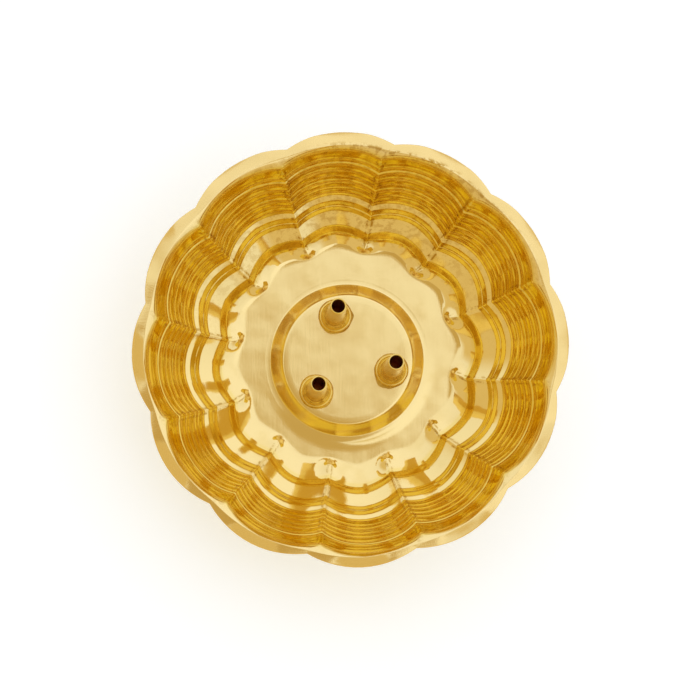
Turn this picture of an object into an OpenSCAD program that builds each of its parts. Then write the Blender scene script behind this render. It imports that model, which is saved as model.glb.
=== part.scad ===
// Fluted brass bowl with a raised centre that carries three hollow stick posts.
// Z is up. The origin is on the table under the middle of the bowl.

/* [Bowl] */
// Width across the tips of the petals
bowl_d = 100; // [92:1:120]
// Height from the table to the ridge of the lip
bowl_h = 26; // [23:0.5:30]
// Thickness of the brass sheet
sheet_t = 0.7; // [0.5:0.1:0.9]
// How many lobes the wall has, and petals the lip
lobes = 12; // [9:1:15]
// How far each crease stands in from the crest of its lobe
lobe_depth = 2.3; // [1.4:0.1:2.6]
// Slope of the steep lower part of each fine rib
rib_slope = 66; // [62:1:69]
// How far the wall sits off the middle of the lip, towards -Y
wall_shift = 0.45; // [0:0.05:0.6]
// How far the flat floor sits off the middle of the lip, towards +Y
floor_shift = 0.7; // [0:0.05:0.8]

/* [Lip] */
// Depth of the notches between the petals
petal_depth = 2.1; // [1:0.1:2.4]
// Angle by which the notches are turned from the creases
lip_turn = 3; // [0:0.5:5]
// How far the outer edge of the lip turns down
lip_drop = 1.5; // [0.6:0.1:2]

/* [Plateau] */
// Width of the flat top of the raised centre
plateau_d = 30.6; // [30.2:0.2:32]
// Height of the raised centre above the floor
plateau_h = 3.2; // [2.4:0.1:3.6]
// Width of the sloping step around it, in plan
step_w = 2.8; // [2.2:0.1:3]
// How far the raised centre and its posts sit off the middle of the lip, towards -Y
centre_shift = 0.6; // [0:0.05:0.7]

/* [Posts] */
// Height of a post above the plateau
post_h = 21.4; // [19.6:0.2:22]
// Distance of the posts from the middle of the bowl
post_circle_r = 10.6; // [9.6:0.1:10.8]
// Direction of the first post, counted from +X
post_angle = 106; // [60:1:150]
// Width of a post where it stands on its collar
post_base_d = 5.5; // [5:0.1:5.8]
// Width of a post at its mouth
post_top_d = 3.8; // [3.6:0.1:4.4]
// Width of the hole for the stick
hole_d = 2.9; // [2:0.1:3]
// Depth of the hole for the stick
hole_depth = 18.5; // [12:0.5:18.5]

/* [Collars] */
// Width of the collar under a post
collar_d = 7.7; // [7:0.1:8]
// Height of a collar
collar_h = 1; // [0.8:0.1:1.2]
// Width of the post's tail, which passes through collar and plateau
tail_d = 3.9; // [3.4:0.1:4.2]
// Width of the solder fillet around a collar
solder_w = 0.5; // [0.3:0.05:0.6]

/* [Hidden] */
brass = [0.86, 0.68, 0.26];
bright_brass = [0.93, 0.76, 0.36];
solder_grey = [0.72, 0.60, 0.34];

// Radii in plan are given for a bowl 100 across and grow with it.
scale_xy = bowl_d / 100;
// The floor ends and the wall starts here, at the crest of a lobe.
floor_r = 26.1 * scale_xy;
// The wall's lower bands from the floor up, as [width in plan, slope]: dish, riser, dish, two short risers, shelf.
low_bands = [[2.4, 18], [1.9, 31], [1.5, 56], [3.1, 30], [0.8, 57], [0.25, 34], [0.9, 57], [1.15, 31]];
// Above them come the fine ribs. The first part of each is steep and the rest is not.
rib_widths = [1.1, 0.9, 0.95, 1.05, 0.95, 1.1, 1.35, 1.3];
steep_part = 0.6;
rib_top_slope = 49;
// The wall ends in an arch over each lobe, and a sloping band leads from there to the ridge.
arch_r = 46.7 * scale_xy;
arch_drop = 0.45;
arch_z = bowl_h - arch_drop;
arch_dip_r = 1.7;
arch_dip_z = 0.75;
ridge_r = 47.2 * scale_xy;
ridge_dip_r = 0.6;
ridge_dip_z = 0.1;
edge_r = bowl_d / 2;
// The notches between the petals lie higher up the turned lip than the petals' tips.
notch_rise = lip_drop * petal_depth / (edge_r - ridge_r);
// Under the ridge the sheet's lower face lies a little further out, and as far below as its slope needs.
under_ridge_r = ridge_r + sheet_t / 5;
under_ridge_z = bowl_h - sheet_t * 1.1;

// Points round each lobe.
steps_per_lobe = 6;
ring_points = lobes * steps_per_lobe;
// A crease lies at this angle; the lobes' crests are half a lobe away from it.
crease_angle = 21;

// All the bands, and the width and height that they add up to.
bands = concat(
    low_bands,
    [
        for (w = rib_widths)
            each [[w * steep_part, rib_slope], [w * (1 - steep_part), rib_top_slope]]
    ]
);
function run(n) = n == 0 ? 0 : run(n - 1) + bands[n - 1][0];
function rise(n) = n == 0 ? 0 : rise(n - 1) + bands[n - 1][0] * tan(bands[n - 1][1]);
run_scale = (arch_r - floor_r) / run(len(bands));
rise_scale = (arch_z - sheet_t) / rise(len(bands));

// The sheet's lower side is moved out along this slope's normal, so that it keeps clear of itself at the ribs.
mean_slopes = [[26.1, 10], [30.4, 30], [38, 45], [40, 58], [50, 58]];
// The rings' middles move along Y from the raised centre out to the lip.
shifts = [[22, -centre_shift], [26, floor_shift], [30.4, -wall_shift], [47.3, -wall_shift], [49, 0]];
function shift(r) = lookup(r / scale_xy, shifts);

// A row is [radius at the crest, height there, step in at the crease, step down there, turn, shift along Y].
function wall_row(n, below) =
    let (
        r = floor_r + run(n) * run_scale,
        slope = lookup(r / scale_xy, mean_slopes)
    )
        [
            r + below * sin(slope),
            sheet_t + rise(n) * rise_scale - below * cos(slope),
            lobe_depth, 0, crease_angle, shift(r)
        ];
// The floor's own row lies straight below itself, and the last row belongs to the arch.
function wall_rows(below) = concat(
    [[floor_r, sheet_t - below, lobe_depth, 0, crease_angle, shift(floor_r)]],
    [for (n = [1 : len(bands) - 1]) wall_row(n, below)]
);

// The two sides of the sheet meet the step at slightly different radii, so the sheet stays even.
step_in = sheet_t * tan(atan2(plateau_h, step_w) / 2);
plateau_r = plateau_d / 2;
top_z = sheet_t + plateau_h;
lip_angle = crease_angle - lip_turn;

upper_rows = concat(
    [
        [plateau_r, top_z, 0, 0, crease_angle, -centre_shift],
        [plateau_r + step_w, sheet_t, 0, 0, crease_angle, -centre_shift]
    ],
    wall_rows(0),
    [
        [arch_r, arch_z, arch_dip_r, arch_dip_z, crease_angle, -wall_shift],
        [ridge_r, bowl_h, ridge_dip_r, ridge_dip_z, lip_angle, -wall_shift],
        [edge_r, bowl_h - lip_drop, petal_depth, -notch_rise, lip_angle, 0]
    ]
);
lower_rows = concat(
    [
        [plateau_r - step_in, top_z - sheet_t, 0, 0, crease_angle, -centre_shift],
        [plateau_r + step_w - step_in, 0, 0, 0, crease_angle, -centre_shift]
    ],
    wall_rows(sheet_t),
    [
        [under_ridge_r, under_ridge_z, ridge_dip_r, ridge_dip_z, lip_angle, -wall_shift],
        [edge_r, bowl_h - lip_drop - sheet_t, petal_depth, -notch_rise, lip_angle, 0]
    ]
);

// Each lobe is an arc that bulges outwards between two creases.
function lobe_dip(i) = pow(abs((i % steps_per_lobe) * 2 / steps_per_lobe - 1), 2);
function ring(row) = [
    for (i = [0 : ring_points - 1])
        let (
            dip = lobe_dip(i),
            a = row[4] + i * 360 / ring_points,
            r = row[0] - row[2] * dip
        )
            [r * cos(a), row[5] + r * sin(a), row[1] - row[3] * dip]
];

// A closed skin over the rings, which run up the inside, over the edge and back underneath.
module ring_skin(rows) {
    n = ring_points;
    last = len(rows) - 1;
    points = [for (row = rows) each ring(row)];
    sides = [
        for (k = [0 : last - 1])
            for (i = [0 : n - 1])
                let (j = (i + 1) % n)
                    each [
                        [k * n + i, k * n + j, (k + 1) * n + j],
                        [k * n + i, (k + 1) * n + j, (k + 1) * n + i]
                    ]
    ];
    first_cap = [[for (i = [n - 1 : -1 : 0]) i]];
    last_cap = [[for (i = [0 : n - 1]) last * n + i]];
    polyhedron(points, concat(sides, first_cap, last_cap), convexity = 8);
}
function reversed(list) = [for (i = [len(list) - 1 : -1 : 0]) list[i]];

module at_post(number) {
    translate([0, -centre_shift, top_z])
        rotate([0, 0, post_angle + 120 * number])
            translate([post_circle_r, 0, 0])
                children();
}

// The pressed bowl, with a hole in the plateau for each post's tail.
module bowl() {
    color(brass) difference() {
        ring_skin(concat(upper_rows, reversed(lower_rows)));
        for (number = [0 : 2])
            at_post(number)
                translate([0, 0, -2 * sheet_t])
                    cylinder(d = tail_d, h = 3 * sheet_t, $fn = 48);
    }
}

// The post's seat in the collar, and the head that its tail is spread into under the plateau.
seat_h = 0.3;
head_d = tail_d + 1.6;
head_h = 0.5;
head_chamfer = 0.2;
mouth_chamfer = 0.1;

// A turned post: a tapered tube with a blind hole, and a riveted tail.
module post(number) {
    shoulder_z = collar_h - seat_h;
    foot_h = 1.2;
    neck_d = post_base_d - 0.6;
    color(bright_brass) at_post(number)
        rotate_extrude($fn = 64)
            polygon([
                [0, -sheet_t - head_h],
                [head_d / 2 - head_chamfer, -sheet_t - head_h],
                [head_d / 2, -sheet_t - head_h + head_chamfer],
                [head_d / 2, -sheet_t],
                [tail_d / 2, -sheet_t],
                [tail_d / 2, shoulder_z],
                [post_base_d / 2, shoulder_z],
                [post_base_d / 2, shoulder_z + foot_h / 2],
                [neck_d / 2, shoulder_z + foot_h],
                [post_top_d / 2, post_h - mouth_chamfer],
                [post_top_d / 2 - mouth_chamfer, post_h],
                [hole_d / 2, post_h],
                [hole_d / 2, post_h - hole_depth],
                [0, post_h - hole_depth]
            ]);
}

// A collar: a ring with a rounded rim, and a seat in its top that the post stands in.
module collar(number) {
    rim = 0.35;
    crown_w = 0.6;
    seat_r = post_base_d / 2;
    color(brass) at_post(number)
        rotate_extrude($fn = 64)
            polygon([
                [tail_d / 2, 0],
                [collar_d / 2, 0],
                [collar_d / 2, collar_h - rim],
                for (a = [15 : 15 : 75])
                    [collar_d / 2 - rim * (1 - cos(a)), collar_h - rim * (1 - sin(a))],
                [collar_d / 2 - rim, collar_h],
                [collar_d / 2 - crown_w, collar_h],
                [seat_r, collar_h - seat_h],
                [tail_d / 2, collar_h - seat_h]
            ]);
}

// The solder that runs around a collar's foot.
module solder(number) {
    collar_r = collar_d / 2;
    belly = 0.3;
    color(solder_grey) at_post(number)
        rotate_extrude($fn = 64)
            polygon([
                [collar_r, 0],
                [collar_r + solder_w, 0],
                [collar_r + solder_w * belly, solder_w * belly],
                [collar_r, solder_w]
            ]);
}

bowl();
collar(0);  // collar_rear
collar(1);  // collar_left
collar(2);  // collar_right
post(0);  // post_rear
post(1);  // post_left
post(2);  // post_right
solder(0);  // solder_rear
solder(1);  // solder_left
solder(2);  // solder_right
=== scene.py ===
import math

import bpy
import numpy as np
from mathutils import Matrix, Vector


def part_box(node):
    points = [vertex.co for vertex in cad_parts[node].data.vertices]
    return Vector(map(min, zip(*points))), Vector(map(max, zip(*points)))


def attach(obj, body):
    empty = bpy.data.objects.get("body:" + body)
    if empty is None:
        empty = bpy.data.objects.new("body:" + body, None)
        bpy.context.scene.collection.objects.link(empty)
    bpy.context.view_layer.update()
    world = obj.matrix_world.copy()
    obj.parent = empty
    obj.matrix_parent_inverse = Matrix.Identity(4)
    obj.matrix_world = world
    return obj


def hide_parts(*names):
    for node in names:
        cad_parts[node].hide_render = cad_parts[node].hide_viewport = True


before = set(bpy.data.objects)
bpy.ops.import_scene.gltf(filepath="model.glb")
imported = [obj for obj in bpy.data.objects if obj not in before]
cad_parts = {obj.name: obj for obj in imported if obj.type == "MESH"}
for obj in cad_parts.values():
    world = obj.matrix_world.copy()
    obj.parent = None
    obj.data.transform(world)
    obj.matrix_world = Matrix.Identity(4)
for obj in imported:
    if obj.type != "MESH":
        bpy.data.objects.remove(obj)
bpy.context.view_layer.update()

# Lengths are in millimetres until a mesh is made.
MM = 0.001
LOBES = 12
# The creases of the wall stand at this angle from +X and repeat. The lip's notches are turned
# back from them by LIP_TURN.
CREASE_ANGLE = 21.0
LIP_TURN = 3.0

bowl_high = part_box("bowl")[1]
HEIGHT = bowl_high[2] / MM
# The tips of the petals lie beside the X axis, so the box is a little narrower than the petals' circle.
HALF_LOBE = 180.0 / LOBES
TIP_ANGLE = math.radians(CREASE_ANGLE - LIP_TURN - HALF_LOBE)
EDGE_R = bowl_high[0] / MM / math.cos(TIP_ANGLE)

SHEET = 0.7
PLATEAU_Z = 3.9
PLATEAU_R = 15.3
STEP_R = 18.1
FLOOR_R = 26.1
# The wall ends at the arch, just inside and below the ridge that the lip turns down from.
ARCH_R = 46.95
ARCH_Z = HEIGHT - 0.3
RIDGE_R = 47.2
RIDGE_Z = HEIGHT + 0.05
LIP_DROP = 1.5
EDGE_INSET = 0.15


# ---------------------------------------------------------------- profile of the bowl

# The wall's section at the crest of a lobe, as bands of (width in plan, slope), from the floor up.
LOW_BANDS = [
    (1.1, 15), (1.3, 21), (1.1, 28), (0.8, 36), (1.5, 56), (3.1, 30),
    (0.75, 57), (0.3, 33), (0.9, 57), (1.15, 31),
]
# Above them come the fine ribs. Each is steep, then upright, then milder, as (share of its width, slope).
RIB_WIDTHS = [1.1, 0.9, 0.95, 1.05, 0.95, 1.1, 1.35, 1.3]
RIB_PARTS = [
    [(0.42, 60), (0.18, 75), (0.3, 47), (0.1, 34)],
    [(0.48, 59), (0.16, 76), (0.36, 46)],
    [(0.38, 61), (0.2, 76), (0.26, 49), (0.16, 34)],
    [(0.5, 58), (0.16, 76), (0.34, 47)],
    [(0.4, 61), (0.2, 75), (0.3, 48), (0.1, 35)],
    [(0.42, 60), (0.18, 77), (0.22, 45), (0.18, 31)],
    [(0.26, 59), (0.12, 76), (0.24, 47), (0.22, 61), (0.16, 50)],
    [(0.42, 61), (0.18, 76), (0.3, 48), (0.1, 37)],
]
RIBS = [(share * width, slope) for width, parts in zip(RIB_WIDTHS, RIB_PARTS) for share, slope in parts]


SECTION_STEP = 0.05
UNDERSIDE_SIGMA = 0.5


def wall_points():
    """Corners of the wall's section from the floor to the arch."""
    points = [(FLOOR_R, SHEET)]
    for width, slope in LOW_BANDS + RIBS:
        r, z = points[-1]
        points.append((r + width, z + width * math.tan(math.radians(slope))))
    points = np.array(points)
    points[:, 0] = FLOOR_R + (points[:, 0] - FLOOR_R) * (ARCH_R - FLOOR_R) / (points[-1, 0] - FLOOR_R)
    points[:, 1] = SHEET + (points[:, 1] - SHEET) * (ARCH_Z - SHEET) / (points[-1, 1] - SHEET)
    return points


def resampled(points, step):
    lengths = np.hypot(*np.diff(points, axis=0).T)
    along = np.concatenate([[0], np.cumsum(lengths)])
    at = np.linspace(0, along[-1], int(along[-1] / step) + 1)
    return at, np.stack([np.interp(at, along, points[:, k]) for k in (0, 1)], 1)


def smoothed(at, points, sigma):
    """Gaussian smoothing along the section, with a width for each point and level ends."""
    weights = np.exp(-0.5 * ((at[:, None] - at[None, :]) / sigma[:, None]) ** 2)
    # Points mirrored through each end keep the ends in place.
    out = weights @ points
    total = weights.sum(1)
    for end in (0, len(at) - 1):
        mirror = 2 * at[end] - at
        w = np.exp(-0.5 * ((at[:, None] - mirror[None, :]) / sigma[:, None]) ** 2)
        out += w @ (2 * points[end] - points)
        total += w.sum(1)
    return out / total[:, None]


def section():
    """The smooth upper side of the sheet, from the middle of the plateau to the lip's edge."""
    inner = [(0.5, PLATEAU_Z), (PLATEAU_R, PLATEAU_Z), (STEP_R, SHEET)]
    outer = [(RIDGE_R, RIDGE_Z), (EDGE_R - EDGE_INSET, HEIGHT - LIP_DROP)]
    points = np.vstack([inner, wall_points(), outer])
    at, line = resampled(points, SECTION_STEP)
    r = line[:, 0]
    # How widely the corners are smoothed, over the radius. The underside follows a wider smoothing.
    sigma_r = [0, 14, 16.7, 19.5, 22, 25, 27.5, 31, 37.5, 38.5, 45.5, 46.6, 47.2, 50]
    sigma = [0.3, 0.3, 0.25, 0.25, 0.15, 0.07, 0.12, 0.1, 0.07, 0.055, 0.055, 0.07, 0.12, 0.25]
    fine = smoothed(at, line, np.interp(r, sigma_r, sigma))
    broad = smoothed(at, line, np.interp(r, sigma_r, np.maximum(sigma, UNDERSIDE_SIGMA)))
    return at, fine, broad


# Over the section's radius: how deep the creases are, how far they dip, how soft they are,
# and how high a bead runs along them.
DEPTH = (
    [21.0, 26.1, 28.5, 30.5, 35.5, 40, 44, 45.6, 46.95, 47.2, 50.0],
    [0, 1.5, 1.7, 1.9, 2.1, 2.2, 2.2, 1.95, 1.55, 0.6, 2.1],
)
DIP = ([45.6, 46.95, 47.2, 50.0], [0, 0.3, 0.1, 0])
SOFTNESS = ([22.0, 26.1, 28.5, 30.5, 46.8, 47.2, 48.5], [0.7, 0.25, 0.1, 0.04, 0.04, 0.3, 0.005])
BEAD = ([26.6, 27.4, 45.5, 46.6], [0, 0.16, 0.16, 0])
# Just above the floor the sheet rises steeply beside each crease, by this much more than elsewhere.
FOOT = ([26.15, 27.4, 28.2, 30.4], [0, 0.95, 0.95, 0])
# How rounded each lobe is: nearly straight flanks and a tight crest at 0.4, an even arc at 3.
ROUNDNESS = ([26, 30, 36, 40, 46, 46.95, 47.2], [0.7, 0.75, 0.9, 1.1, 1.2, 1.5, 3])
# How much of each lobe's outline is a dome, flat on top and steep beside the creases.
DOME = ([34, 40, 46, 46.95, 47.2], [0, 0.45, 0.7, 0.7, 0])
# The lip is bent down in the middle of each petal and lies nearly level near the notches. The
# change runs between these two positions over the lobe.
PETAL_RISE = 1.3
PETAL_BEND = (0.82, 0.42)
# Towards the front the foot of the step is softer than elsewhere.
STEP_FILLET = 0.75
STEP_FILLET_ANGLE = -72
TURN = ([46.9, 47.25], [0, LIP_TURN])
# The pressed parts sit a little off the middle of the lip along Y.
SHIFT = ([22, 26, 30.4, 47.3, 49], [-0.6, 0.7, -0.45, -0.45, 0])


# Positions over one lobe, 0 at one crease and 2 at the next, closer together at the creases.
HALF = np.array([0, 0.018, 0.036, 0.055, 0.08, 0.11, 0.15, 0.2, 0.26, 0.34, 0.44, 0.56, 0.7, 0.85])
TAU = np.concatenate([HALF, [1.0], 2 - HALF[1:][::-1]])


def waviness(angle, height):
    """Small unevenness of the hand-finished wall, as a distance outwards."""
    rng = np.random.default_rng(12)
    total = np.zeros(np.broadcast(angle, height).shape)
    # Waves round the bowl, then finer ones up the wall.
    for _ in range(14):
        turns, climb, phase = rng.integers(3, 60), rng.uniform(-0.9, 0.9), rng.uniform(0, 2 * math.pi)
        total = total + 0.1 * np.sin(turns * angle + climb * height + phase) / (6 + turns)
    for _ in range(12):
        turns, climb, phase = rng.integers(-40, 40), rng.uniform(1.5, 4.5), rng.uniform(0, 2 * math.pi)
        total = total + 0.014 * np.sin(turns * angle + climb * height + phase) / climb
    return total


def rings(rows):
    """Points of each row (radius, height) right round the bowl, and how far each is from a crease."""
    tau = TAU
    lobe_tau = np.minimum(tau, 2 - tau)
    out = []
    for r, z in rows:
        soft = np.interp(r, *SOFTNESS)
        near = np.sqrt(lobe_tau ** 2 + soft ** 2) - soft
        far = math.sqrt(1 + soft ** 2) - soft
        rounded_by = np.interp(r, *ROUNDNESS)
        bulge, none, all_of_it = (np.sqrt(u ** 2 + rounded_by ** 2) for u in (1 - near, 1 - far, 1))
        dip = (bulge - none) / (all_of_it - none)
        dome = np.interp(r, *DOME)
        dip = (1 - dome) * dip + dome * ((1 - near) ** 3 - (1 - far) ** 3) / (1 - (1 - far) ** 3)
        bead = np.interp(r, *BEAD) * np.exp(-(lobe_tau / 0.04) ** 2)
        foot = np.interp(r, *FOOT) * np.exp(-(lobe_tau / 0.24) ** 2)
        radius = r - np.interp(r, *DEPTH) * dip - bead
        height = z - np.interp(r, *DIP) * dip + foot
        bend = np.clip((PETAL_BEND[0] - lobe_tau) / (PETAL_BEND[0] - PETAL_BEND[1]), 0, 1)
        height = height + np.interp(r, [47.2, 50], [0, PETAL_RISE]) * bend * bend * (3 - 2 * bend)
        fillet = STEP_FILLET * math.exp(-((r - STEP_R - 0.35) / 1.25) ** 2)
        start = CREASE_ANGLE - np.interp(r, *TURN)
        rough = np.interp(r, [26.5, 28, 37, 39, 45.5, 47], [0, 0.5, 0.5, 1, 1, 0])
        ring = []
        for lobe in range(LOBES):
            a = np.radians(start + (2 * lobe + tau) * HALF_LOBE)
            wavy = radius + rough * waviness(a, z) * np.minimum(1, lobe_tau * 4)
            softer = np.clip(np.cos(a - math.radians(STEP_FILLET_ANGLE)), 0, 1) ** 2
            ring.append(np.stack([
                wavy * np.cos(a),
                wavy * np.sin(a) + np.interp(r, *SHIFT),
                height + fillet * softer,
            ], 1))
        out.append(np.concatenate(ring))
    return np.array(out), np.tile(lobe_tau, LOBES)


def pick(at, line, widest, turn):
    """Rows along a section, closer together where it bends. turn is the bend between rows in degrees."""
    tangent = np.gradient(line, axis=0)
    bend = np.abs(np.gradient(np.degrees(np.unwrap(np.arctan2(tangent[:, 1], tangent[:, 0])))))
    step = at[1] - at[0]
    count = np.cumsum(step / np.interp(line[:, 0], *widest) + bend / turn)
    wanted = np.linspace(count[0], count[-1], int(count[-1]) + 1)
    here = np.interp(wanted, count, at)
    return np.stack([np.interp(here, at, line[:, k]) for k in (0, 1)], 1)


def new_object(name, verts, faces, values):
    """A smooth mesh object. values holds lists of numbers that the materials read at its points."""
    mesh = bpy.data.meshes.new(name)
    mesh.from_pydata([tuple(v) for v in np.asarray(verts) * MM], [], faces)
    for key, numbers in values.items():
        layer = mesh.attributes.new(key, "FLOAT", "POINT")
        layer.data.foreach_set("value", np.asarray(numbers, dtype=np.float32))
    mesh.polygons.foreach_set("use_smooth", [True] * len(mesh.polygons))
    mesh.update()
    obj = bpy.data.objects.new(name, mesh)
    bpy.context.scene.collection.objects.link(obj)
    return obj


def ring_mesh(name, points, values):
    """A closed mesh over rings of points, with a fan at each end. values holds an array for each key."""
    rows, n = points.shape[:2]
    i = np.arange(n)
    j = (i + 1) % n
    quads = np.concatenate([np.stack([i, j, j + n, i + n], 1)[:, ::-1] + k * n for k in range(rows - 1)])
    top, bottom, last = rows * n, rows * n + 1, (rows - 1) * n
    fans = [(top, int(p), int(q)) for p, q in zip(i, j)]
    ends = [(bottom, int(q) + last, int(p) + last) for p, q in zip(i, j)]
    verts = np.vstack([points.reshape(-1, 3), points[0].mean(0), points[-1].mean(0)])
    flat = {
        key: np.concatenate([v.reshape(-1), [v[0].mean(), v[-1].mean()]])
        for key, v in values.items()
    }
    return new_object(name, verts, quads.tolist() + fans + ends, flat)


# How rough the finish is over the section's radius.
ROUGHNESS = (
    [0, 15, 16, 18, 19, 26, 27, 46, 47, 50],
    [0.16, 0.15, 0.15, 0.15, 0.14, 0.14, 0.045, 0.05, 0.15, 0.22],
)


def bowl():
    at, fine, broad = section()
    upper = pick(at, fine, ([0, 10, 14.2, 26, 46, 50], [4, 2.5, 1.2, 0.6, 0.35, 0.45]), 11.5)
    tangent = np.gradient(broad, axis=0)
    tangent /= np.linalg.norm(tangent, axis=1)[:, None]
    under = broad + SHEET * np.stack([tangent[:, 1], -tangent[:, 0]], 1)
    keep = under[:, 0] < EDGE_R - 0.2
    lower = pick(at[keep], under[keep], ([0, 10, 14.2, 26, 50], [4, 4, 1.5, 1, 0.8]), 18)
    edge_z = fine[-1, 1]
    rim = [(EDGE_R - 0.03, edge_z - 0.1), (EDGE_R - 0.03, edge_z - 0.45), (EDGE_R - 0.12, edge_z - 0.55)]
    rows = np.vstack([upper, rim, lower[::-1]])
    points, lobe_tau = rings(rows)
    below = np.arange(len(rows)) > len(upper)
    r = np.repeat(rows[:, :1], points.shape[1], 1)
    crease = np.repeat(lobe_tau[None], len(rows), 0)
    along = np.concatenate([[0], np.cumsum(np.hypot(*np.diff(rows, axis=0).T))])
    # Painted shade: the sides of the creases, their feet where they meet the floor and the notches at the
    # lip are darkened.
    side = np.exp(-((crease - 0.07) / 0.028) ** 2) * np.interp(r, [27, 28, 45.8, 46.8], [0, 1, 1, 0])
    foot = np.exp(-(crease / 0.13) ** 2) * np.exp(-((r - 26.7) / 0.3) ** 2)
    notch = np.exp(-(crease / 0.08) ** 2) * np.exp(-((r - 47.0) / 0.3) ** 2)
    # Painted reflection: towards the rear the wall is a little browner, for darker surroundings seen in it.
    # A painted shadow runs along the ridge at the rear right.
    turn = np.degrees(np.arctan2(points[..., 1], points[..., 0]))
    wall_only = np.interp(r, [28, 30.4, 46.9, 47.1], [0, 1, 1, 0])
    rear_reflection = 0.36 * np.clip(np.sin(np.radians(turn)), 0, 1) * wall_only
    # Painted shadow along the ridge at the lip's inner edge, at the rear.
    ridge_shadow = 0.9 * np.exp(-((r - 47.4) / 0.4) ** 2) * np.exp(-((turn - 70) / 30) ** 2)
    # All of these marks are painted shade and painted reflection.
    painted_shade_and_reflection = 0.75 * side + foot + 0.3 * notch + rear_reflection + ridge_shadow
    under_side = np.repeat(below[:, None], points.shape[1], 1)
    slopes = np.degrees(np.arctan2(*np.gradient(rows, axis=0).T[::-1]))[:, None]
    values = {
        "gloss": np.where(under_side, 0.26, np.interp(r, *ROUGHNESS)),
        "grime": np.where(under_side, 0.1, np.clip(painted_shade_and_reflection, 0, 1)),
        # Painted reflection: the steeper the wall, the deeper the gold, standing in for the darker light
        # that the ribs reflect from each other.
        "deep": np.where(under_side, 0, np.clip(
            np.interp(slopes, [28, 50], [0, 1]) + np.interp(r, [38, 39], [0, 0.2]), 0, 1
        ) * np.interp(r, [26, 28, 46.2, 47.1], [0, 1, 1, 0])),
        "brushed": np.where(under_side, 0, np.interp(r, [47.0, 47.8], [0, 1])),
        "flat": np.interp(r, [14.5, 15.5, 18, 19.0, 26, 27.0], [1, 0, 0, 1, 1, 0]),
        "along": np.repeat(along[:, None], points.shape[1], 1),
    }
    return ring_mesh("bowl_skin", points, values)


skin = bowl()
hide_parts("bowl")
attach(skin, "root")


# ---------------------------------------------------------------- posts, collars and solder

def rounded(points, sigma):
    """A smooth line through corner points."""
    at, line = resampled(np.array(points, dtype=float), 0.02)
    return smoothed(at, line, np.full(len(at), sigma))


def turned(name, centre, rows, grime, gloss, bump=None, around=72, bore=None):
    """A turned piece: rows of (radius, height) round an upright line, with a value of each kind per row."""
    a = np.arange(around) * 2 * math.pi / around
    rows = np.asarray(rows)
    r = np.repeat(rows[:, :1], around, 1)
    z = np.repeat(rows[:, 1:], around, 1)
    if bump is not None:
        r, z = bump(r, z, a[None])
    points = np.stack([centre[0] + r * np.cos(a), centre[1] + r * np.sin(a), z], 2)
    along = np.concatenate([[0], np.cumsum(np.hypot(*np.diff(rows, axis=0).T))])
    values = {
        "grime": np.repeat(np.asarray(grime, dtype=float)[:, None], around, 1),
        "gloss": np.repeat(np.asarray(gloss, dtype=float)[:, None], around, 1),
        "deep": np.full(r.shape, 0.4),
        "bore": np.repeat(np.asarray(bore or [0] * len(rows), dtype=float)[:, None], around, 1),
        "along": np.repeat(along[:, None], around, 1),
    }
    return ring_mesh(name, points[::-1], {k: v[::-1] for k, v in values.items()})


COLLAR_R = 3.85
COLLAR_H = 1.0
HOLE_R = 1.45
HOLE_DEPTH = 18.5
BASE_R = 2.75
TOP_R = 1.9
TAIL_R = 1.95

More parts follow.
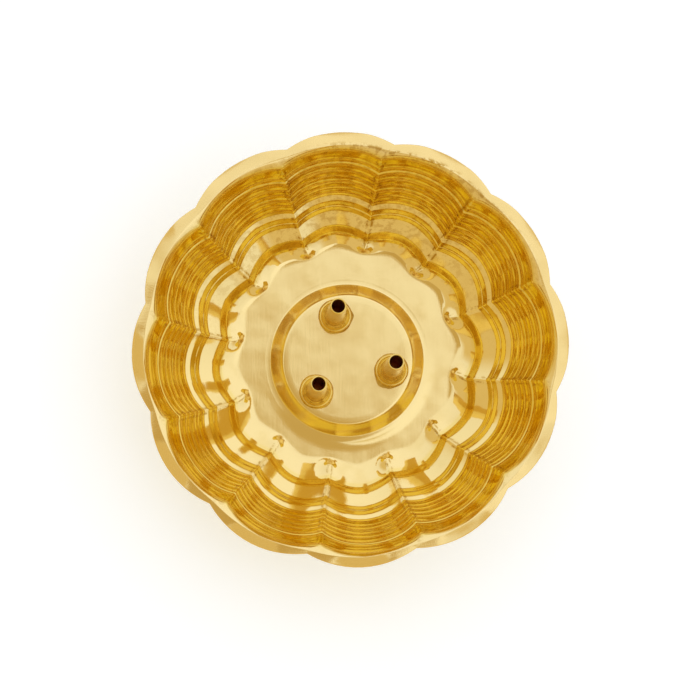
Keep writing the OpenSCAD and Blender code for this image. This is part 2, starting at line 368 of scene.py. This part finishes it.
pieces = {"bowl_skin": skin}
for side in ("rear", "left", "right"):
    low, high = (Vector(corner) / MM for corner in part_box("post_" + side))
    centre = ((low[0] + high[0]) / 2, (low[1] + high[1]) / 2)
    top = high[2]
    seat = PLATEAU_Z + COLLAR_H - 0.3

    # The post: riveted head, tail, turned foot with a groove, tapered body, rounded mouth and the bore.
    outside = rounded([
        (0.01, low[2] + 0.02), (BASE_R - 0.12, low[2] + 0.02), (BASE_R - 0.02, low[2] + 0.3),
        (BASE_R - 0.1, low[2] + 0.5), (TAIL_R, low[2] + 0.52), (TAIL_R, seat), (BASE_R - 0.02, seat),
        (BASE_R - 0.03, seat + 0.42), (BASE_R - 0.2, seat + 0.5), (BASE_R - 0.12, seat + 0.75),
        (BASE_R - 0.3, seat + 1.3), (TOP_R + 0.22, top - 8), (TOP_R - 0.02, top - 0.3),
        (TOP_R - 0.1, top - 0.04), (HOLE_R + 0.16, top - 0.01), (HOLE_R, top - 0.2),
    ], 0.05)
    inside = [(HOLE_R, top - HOLE_DEPTH * t) for t in (0.03, 0.08, 0.15, 0.3, 0.6, 1)]
    line_at = np.concatenate([[0], np.cumsum(np.hypot(*np.diff(outside, axis=0).T))])
    shell = pick(line_at, outside, ([0, 4], [1.2, 1.2]), 14)
    rows = np.vstack([shell, inside, [(0.02, inside[-1][1] - 0.001)]])
    grime = [0.05] * len(shell) + [0] * 7
    # Painted shade: inside the hole the bore is coloured brown.
    bore = [0] * len(shell) + [0.7] + [1] * 6
    # Painted shade darkens the groove in the foot.
    groove = np.exp(-((rows[:, 1] - seat - 0.5) / 0.12) ** 2) * (rows[:, 0] > BASE_R - 0.4)
    grime = np.clip(np.array(grime) + 0.55 * groove, 0, 1)
    gloss = [0.13] * len(shell) + [0.4] * 7
    post = turned("post_" + side + "_turned", centre, rows, grime, gloss, bore=bore)
    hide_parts("post_" + side)
    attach(post, "root")
    pieces[post.name] = post

    # The collar: a rounded rim, then a face that dishes down to the post.
    ring = rounded([
        (TAIL_R + 0.03, PLATEAU_Z + 0.01), (COLLAR_R - 0.08, PLATEAU_Z + 0.01),
        (COLLAR_R - 0.01, PLATEAU_Z + 0.25),
        (COLLAR_R - 0.02, PLATEAU_Z + 0.72), (COLLAR_R - 0.22, PLATEAU_Z + COLLAR_H),
        (COLLAR_R - 0.5, PLATEAU_Z + COLLAR_H - 0.03), (COLLAR_R - 0.72, PLATEAU_Z + COLLAR_H - 0.2),
        (BASE_R + 0.12, PLATEAU_Z + COLLAR_H - 0.3), (BASE_R + 0.02, PLATEAU_Z + COLLAR_H - 0.34),
        (TAIL_R + 0.03, PLATEAU_Z + COLLAR_H - 0.34),
    ], 0.05)
    line_at = np.concatenate([[0], np.cumsum(np.hypot(*np.diff(ring, axis=0).T))])
    rows = pick(line_at, ring, ([0, 4], [0.5, 0.5]), 14)
    # Painted shade darkens the collar where the post rises from it and round its foot on the plateau.
    inner = np.exp(-((rows[:, 0] - BASE_R - 0.05) / 0.12) ** 2) * (rows[:, 1] > PLATEAU_Z + 0.4)
    outer = np.exp(-((rows[:, 1] - PLATEAU_Z - 0.1) / 0.25) ** 2) * (rows[:, 0] > COLLAR_R - 0.3)
    grime = np.clip(0.8 * inner + 0.5 * outer, 0, 1)
    collar = turned("collar_" + side + "_ring", centre, rows, grime, np.full(len(rows), 0.17))
    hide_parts("collar_" + side)
    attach(collar, "root")
    pieces[collar.name] = collar

# Where solder has run further from a collar: (post, direction in degrees, width in degrees, extra reach).
SOLDER_RUNS = [
    ("rear", 2, 14, 0.42), ("rear", 248, 24, 0.3), ("rear", 305, 16, 0.2),
    ("left", 310, 26, 0.3), ("left", 120, 40, 0.12), ("right", 232, 20, 0.75), ("right", 265, 12, 0.3),
    ("right", 20, 30, 0.1),
]
for number, side in enumerate(("rear", "left", "right")):
    low, high = (Vector(corner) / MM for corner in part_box("solder_" + side))
    centre = ((low[0] + high[0]) / 2, (low[1] + high[1]) / 2)
    rng = np.random.default_rng(40 + number)
    waves = [(k, rng.uniform(0, 2 * math.pi), rng.uniform(0.3, 1) / k ** 0.7) for k in range(2, 14)]

    def uneven(r, z, a, waves=waves, side=side):
        """The run's reach changes round the collar, with lumps and thin places."""
        reach = 0.22 + 0.05 * sum(size * np.sin(k * a + phase) for k, phase, size in waves)
        for post_name, at, width, extra in SOLDER_RUNS:
            if post_name == side:
                apart = (np.degrees(a) - at + 180) % 360 - 180
                reach = reach + extra * np.exp(-(apart / width) ** 2)
        reach = np.clip(reach, 0.06, 1.2)
        out = COLLAR_R - 0.04 + (r - COLLAR_R) * reach
        up = PLATEAU_Z + (z - PLATEAU_Z) * np.clip(0.6 + reach, 0.5, 1.1)
        return out, up

    fillet = rounded([
        (COLLAR_R, PLATEAU_Z + 0.004), (COLLAR_R + 1.0, PLATEAU_Z + 0.004),
        (COLLAR_R + 0.85, PLATEAU_Z + 0.09),
        (COLLAR_R + 0.4, PLATEAU_Z + 0.2), (COLLAR_R + 0.1, PLATEAU_Z + 0.36), (COLLAR_R, PLATEAU_Z + 0.45),
    ], 0.04)
    line_at = np.concatenate([[0], np.cumsum(np.hypot(*np.diff(fillet, axis=0).T))])
    rows = pick(line_at, fillet, ([0, 6], [0.25, 0.25]), 20)
    rows = np.vstack([rows, rows[:1]])
    grime = np.full(len(rows), 0.5)
    gloss = np.full(len(rows), 0.3)
    solder = turned("solder_" + side + "_run", centre, rows, grime, gloss, uneven, around=96)
    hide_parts("solder_" + side)
    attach(solder, "root")
    pieces[solder.name] = solder


# ---------------------------------------------------------------- materials

def add(tree, kind, *inputs, out=0, **settings):
    """A shader node with its settings and inputs, sockets or numbers. Returns one of its outputs."""
    node = tree.nodes.new("ShaderNode" + kind)
    for key, value in settings.items():
        setattr(node, key, value)
    for socket, value in zip(node.inputs, inputs):
        if isinstance(value, bpy.types.NodeSocket):
            tree.links.new(value, socket)
        elif value is not None:
            socket.default_value = value
    return node.outputs[out]


def maths(tree, operation, *inputs):
    return add(tree, "Math", *inputs, operation=operation)


def spread(tree, value, low, high, to_low, to_high):
    """A value carried smoothly from one range to another."""
    return add(tree, "MapRange", value, low, high, to_low, to_high, interpolation_type="SMOOTHSTEP")


def blend_colours(tree, factor, first, second):
    return add(tree, "Mix", factor, None, None, None, None, None, first, second, data_type="RGBA", out=2)


def noise(tree, vector, scale, detail=3.0, roughness=0.55):
    return add(tree, "TexNoise", vector, None, scale, detail, roughness)


def attribute(tree, name):
    return add(tree, "Attribute", attribute_name=name, out=2)


def stretched(tree, vector, x, y, z):
    return add(tree, "Mapping", vector, None, None, (x, y, z))


BRASS = (0.87, 0.7, 0.33, 1)
DEEP_BRASS_AND_REFLECTION = (0.8, 0.585, 0.07, 1)
LIP_BRASS = (0.84, 0.65, 0.28, 1)
TARNISH_AND_SHADE = (0.46, 0.25, 0.02, 1)
BORE_SHADE_BROWN = (0.6, 0.29, 0.1, 1)
SMUDGE = (0.76, 0.56, 0.2, 1)
SOLDER_BRASS = (0.74, 0.56, 0.25, 1)


def brass(name, base, worn, smudge_amount, scratch, wave):
    """Brass with soft stains, rubbed-in dirt and painted shade, a deeper tone that also paints reflections,
    fine scratches and a slightly uneven surface.
    """
    mat = bpy.data.materials.new(name)
    mat.use_nodes = True
    tree = mat.node_tree
    shader = tree.nodes["Principled BSDF"]
    shader.inputs["Metallic"].default_value = 1
    place = add(tree, "TexCoord", out=3)
    cloudy = noise(tree, place, 130)
    fine = noise(tree, place, 900, 4.0, 0.6)
    stains = spread(tree, cloudy, 0.52, 0.7, 0, smudge_amount)
    specks = spread(tree, fine, 0.68, 0.76, 0, 0.3)
    # The grime values hold dirt on the solder and underside, painted shade in creases, grooves and joints,
    # and painted reflection on the rear wall.
    grime = attribute(tree, "grime")
    broken = spread(tree, noise(tree, place, 620, 4.0, 0.65), 0.45, 0.6, 0, 1.1)
    grime_and_shade_broken = maths(tree, "MULTIPLY", grime, broken)
    # The deeper tone is painted reflection on the bowl's steep ribs and a plain deeper tone on the posts.
    colour = blend_colours(tree, attribute(tree, "deep"), base, DEEP_BRASS_AND_REFLECTION)
    colour = blend_colours(tree, attribute(tree, "brushed"), colour, LIP_BRASS)
    colour = blend_colours(tree, stains, colour, worn)
    colour = blend_colours(tree, specks, colour, SMUDGE)
    colour = blend_colours(tree, grime_and_shade_broken, colour, TARNISH_AND_SHADE)
    # Painted shade inside the bore.
    colour = blend_colours(tree, attribute(tree, "bore"), colour, BORE_SHADE_BROWN)
    tree.links.new(colour, shader.inputs["Base Color"])

    gloss = attribute(tree, "gloss")
    rough = maths(tree, "MULTIPLY", gloss, spread(tree, cloudy, 0.3, 0.7, 0.85, 1.2))
    rough = maths(tree, "ADD", rough, maths(tree, "MULTIPLY", grime, 0.15))
    tree.links.new(rough, shader.inputs["Roughness"])

    heights = []
    # Turning and polishing marks run round the piece.
    split = add(tree, "SeparateXYZ", place)
    split_y = split.node.outputs[1]
    angle = maths(tree, "ARCTAN2", split_y, split)
    marks_at = add(tree, "CombineXYZ", attribute(tree, "along"), maths(tree, "MULTIPLY", angle, 1.5), 0.0)
    marks = noise(tree, marks_at, 7, 3.0, 0.6)
    heights.append(maths(tree, "MULTIPLY", marks, scratch))
    heights.append(maths(tree, "MULTIPLY", noise(tree, place, 260, 2.0, 0.5), wave))
    return mat, tree, shader, place, angle, heights


def finish_bump(tree, shader, heights):
    total = heights[0]
    for height in heights[1:]:
        total = maths(tree, "ADD", total, height)
    node = tree.nodes.new("ShaderNodeBump")
    node.inputs["Strength"].default_value = 1
    node.inputs["Distance"].default_value = 1
    tree.links.new(total, node.inputs["Height"])
    tree.links.new(node.outputs[0], shader.inputs["Normal"])


# Heights in metres of the marks that the bump carries.
WIPED_HEIGHT = 7e-6
DENT_HEIGHT = 0.8e-4
BRUSHED_HEIGHT = 1.6e-5
LUMP_HEIGHT = 2e-5

bowl_mat, tree, shader, place, angle, heights = brass("brass_pressed", BRASS, SMUDGE, 0.3, 3e-6, 1.2e-5)
# The flat parts have fine scratches along Y and shallow dents. The lip is brushed straight out.
flat = attribute(tree, "flat")
wiped = noise(tree, stretched(tree, place, 1.0, 0.06, 1.0), 2600, 3.0, 0.6)
heights.append(maths(tree, "MULTIPLY", maths(tree, "MULTIPLY", wiped, flat), WIPED_HEIGHT))
dents = noise(tree, place, 130, 1.0, 0.4)
heights.append(maths(tree, "MULTIPLY", maths(tree, "MULTIPLY", dents, flat), DENT_HEIGHT))
out_along = maths(tree, "MULTIPLY", attribute(tree, "along"), 0.5)
out_at = add(tree, "CombineXYZ", maths(tree, "MULTIPLY", angle, 170), out_along, 0.0)
brushing = noise(tree, out_at, 1, 2.0, 0.6)
brushing = maths(tree, "MULTIPLY", brushing, attribute(tree, "brushed"))
heights.append(maths(tree, "MULTIPLY", brushing, BRUSHED_HEIGHT))
finish_bump(tree, shader, heights)

post_mat, tree, shader, place, angle, heights = brass("brass_turned", BRASS, DEEP_BRASS_AND_REFLECTION, 0.4, 5e-6, 0.6e-5)
finish_bump(tree, shader, heights)
collar_mat, tree, shader, place, angle, heights = brass("brass_collar", BRASS, SMUDGE, 0.4, 5e-6, 1.5e-5)
finish_bump(tree, shader, heights)
solder_mat, tree, shader, place, angle, heights = brass("solder_run", SOLDER_BRASS, TARNISH_AND_SHADE, 0.5, 0, 4e-5)
heights.append(maths(tree, "MULTIPLY", noise(tree, place, 1500, 3.0, 0.6), LUMP_HEIGHT))
finish_bump(tree, shader, heights)

materials = {"bowl": bowl_mat, "post": post_mat, "collar": collar_mat, "solder": solder_mat}
for name, piece in pieces.items():
    piece.data.materials.append(materials[name.split("_")[0]])


# ---------------------------------------------------------------- floor, light and camera

SIDE = 3.0
floor_mesh = bpy.data.meshes.new("floor")
corners = [(-SIDE, -SIDE, 0), (SIDE, -SIDE, 0), (SIDE, SIDE, 0), (-SIDE, SIDE, 0)]
floor_mesh.from_pydata(corners, [], [(0, 1, 2, 3)])
floor = bpy.data.objects.new("floor", floor_mesh)
bpy.context.scene.collection.objects.link(floor)
floor_mat = bpy.data.materials.new("floor_pale")
floor_mat.use_nodes = True
floor_inputs = floor_mat.node_tree.nodes["Principled BSDF"].inputs
floor_inputs["Base Color"].default_value = (0.8, 0.87, 1, 1)
floor_inputs["Emission Color"].default_value = (0.9, 0.93, 1, 1)
floor_inputs["Emission Strength"].default_value = 0.36
floor_inputs["Roughness"].default_value = 0.8
floor_mesh.materials.append(floor_mat)


def towards(azimuth, tilt):
    """A unit vector at an azimuth from +X, tilted from straight up, both in degrees."""
    a, t = math.radians(azimuth), math.radians(tilt)
    return (math.sin(t) * math.cos(a), math.sin(t) * math.sin(a), math.cos(t))


# The studio: light all round, brighter at the rear right and at the front right, with a tan patch
# overhead, a warmer low sky and a darker tan sector towards the front left.
SKY = (1.0, 0.98, 0.95, 1)
SKY_REAR = (1.12, 1.11, 1.12, 1)
SKY_RIGHT = (1.15, 1.14, 1.14, 1)
SKY_OVERHEAD = (0.64, 0.47, 0.2, 1)
SKY_LOW = (0.82, 0.68, 0.44, 1)
SKY_FRONT = (0.81, 0.645, 0.34, 1)
world = bpy.data.worlds.new("studio")
world.use_nodes = True
tree = world.node_tree
look = add(tree, "TexCoord", out=0)


def facing(vector, direction):
    """How nearly a direction of view is the given one: the cosine of the angle between them."""
    return add(tree, "VectorMath", vector, direction, operation="DOT_PRODUCT", out=1)


def sin_of(degrees):
    return math.sin(math.radians(degrees))


def cos_of(degrees):
    return math.cos(math.radians(degrees))


rear = spread(tree, facing(look, towards(55, 65)), 0.2, 0.95, 0, 1)
light = blend_colours(tree, rear, SKY, SKY_REAR)
right_side = spread(tree, facing(look, towards(-38, 22)), cos_of(26), cos_of(8), 0, 1)
light = blend_colours(tree, right_side, light, SKY_RIGHT)
overhead = spread(tree, facing(look, towards(-132, 16)), cos_of(22), cos_of(19), 0, 1)
light = blend_colours(tree, overhead, light, SKY_OVERHEAD)
flat_look = add(tree, "VectorMath", look, (1, 1, 0), operation="MULTIPLY")
flat_look = add(tree, "VectorMath", flat_look, operation="NORMALIZE")
height = add(tree, "SeparateXYZ", look, out=2)
low = spread(tree, height, sin_of(15), sin_of(25), 1, 0)
light = blend_colours(tree, low, light, SKY_LOW)
front = spread(tree, facing(flat_look, towards(-130, 90)), cos_of(88), cos_of(66), 0, 1)
lowish = spread(tree, height, sin_of(52), sin_of(58), 1, 0)
front = maths(tree, "MULTIPLY", front, lowish)
light = blend_colours(tree, front, light, SKY_FRONT)
tree.links.new(light, tree.nodes["Background"].inputs["Color"])
bpy.context.scene.world = world
bpy.context.scene.view_settings.view_transform = "Standard"

# The camera looks down at the rim's middle, leaning a little towards the front and left.
LEAN = 6.1
LEAN_TOWARDS = -111
DISTANCE = 637 * MM
aim = Vector((-0.29 * MM, -0.57 * MM, HEIGHT * MM))
direction = Vector(towards(LEAN_TOWARDS, LEAN))
camera_data = bpy.data.cameras.new("camera")
camera_data.lens = 144
camera_data.sensor_width = 36
camera = bpy.data.objects.new("camera", camera_data)
camera.location = aim + direction * DISTANCE
right = Vector((0, 1, 0)).cross(direction).normalized()
camera.matrix_world = (
    Matrix.Translation(camera.location)
    @ Matrix((right, direction.cross(right), direction)).transposed().to_4x4()
)
bpy.context.scene.collection.objects.link(camera)
bpy.context.scene.camera = camera
